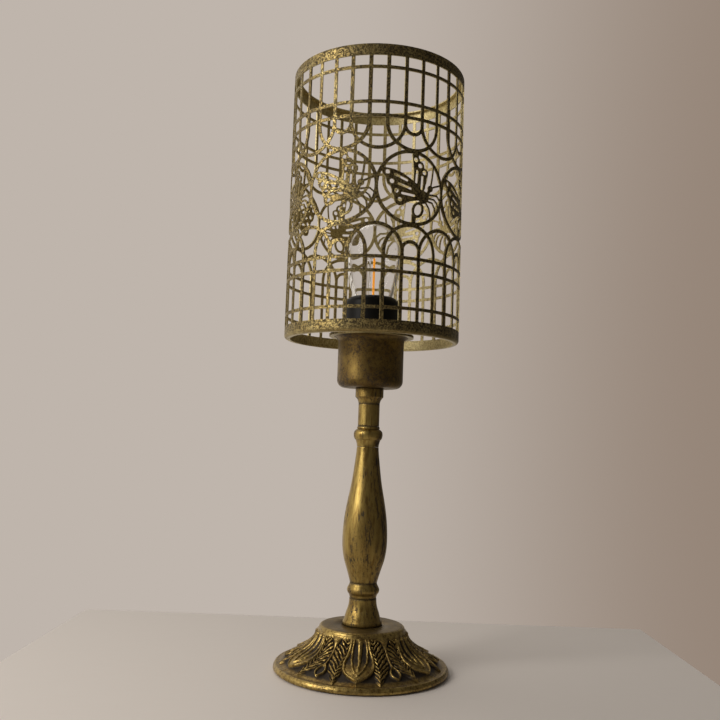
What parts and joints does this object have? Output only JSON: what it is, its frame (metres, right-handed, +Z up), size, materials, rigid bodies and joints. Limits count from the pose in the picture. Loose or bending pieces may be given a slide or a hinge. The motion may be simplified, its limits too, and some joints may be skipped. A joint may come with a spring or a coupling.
{
  "type": "table lamp",
  "caption": "Cordless table lamp: pierced metal shade with butterflies on a turned antique brass pillar and cast base, with a lift-out battery bulb unit.",
  "frame": {"origin": "centre of the base on the surface that the lamp stands on", "axes": "+Z up along the pillar, -Y the front, +X to the viewer's right"},
  "size_m": [0.14, 0.14, 0.4736],
  "materials": {
    "antique_brass": "dark antique brass paint, brushed back to gold on the high spots",
    "shade_brass": "antique brass paint, speckled dark and gold",
    "cast_base": "cast relief, dark in the recesses and rubbed gold on the ridges",
    "pad": "matt black foam rubber",
    "steel": "zinc plated",
    "black_plastic": "satin black moulding",
    "grey_plastic": "plain grey moulding",
    "knob_plastic": "light grey moulding",
    "board": "green circuit board",
    "clear_glass": "clear blown glass",
    "filament": "amber coated light strip",
    "cell": "plain dark sleeve with a bare steel end"
  },
  "bodies": {
    "stand": {"base_casting": "cast_base", "base_pad": "pad", "base_washer": "steel", "base_nut": "steel", "foot_sleeve": "antique_brass", "lower_bead": "antique_brass", "baluster": "antique_brass", "upper_bead": "antique_brass", "neck_sleeve": "antique_brass", "collar": "antique_brass", "tie_rod": "steel", "cup": "antique_brass", "cup_washer": "steel", "cup_nut": "steel", "seat_ring": "pad", "shade_cage": "shade_brass", "spider_ring": "shade_brass", "spider_arms": "shade_brass", "spider_rivets": "shade_brass"},
    "lamp_unit": {"battery_case": "black_plastic", "case_dome": "black_plastic", "cartridge_frame": "grey_plastic", "contact_springs": "steel", "contact_plates": "steel", "board_posts": "grey_plastic", "circuit_board": "board", "switch_body": "grey_plastic", "switch_lead": "steel", "bulb_base": "grey_plastic", "bulb_glass": "clear_glass", "bulb_stem": "clear_glass", "filament": "filament", "filament_wires": "steel", "cell_1": "cell", "cell_2": "cell", "cell_3": "cell"},
    "switch": {"switch_knob": "knob_plastic"},
    "cover": {"battery_cover": "black_plastic"}
  },
  "joints": [
    {"name": "lamp_lift", "type": "slide", "parent": "stand", "child": "lamp_unit", "axis": [0, 0, 1], "range_m": [0, 0.262]},
    {"name": "switch_slide", "type": "slide", "parent": "lamp_unit", "child": "switch", "axis": [0, 0, 1], "range_m": [-0.002, 0.002]},
    {"name": "cover_twist", "type": "hinge", "parent": "lamp_unit", "child": "cover", "pos_m": [0, 0, 0.2261], "axis": [0, 0, 1], "range_deg": [0, 30]}
  ]
}
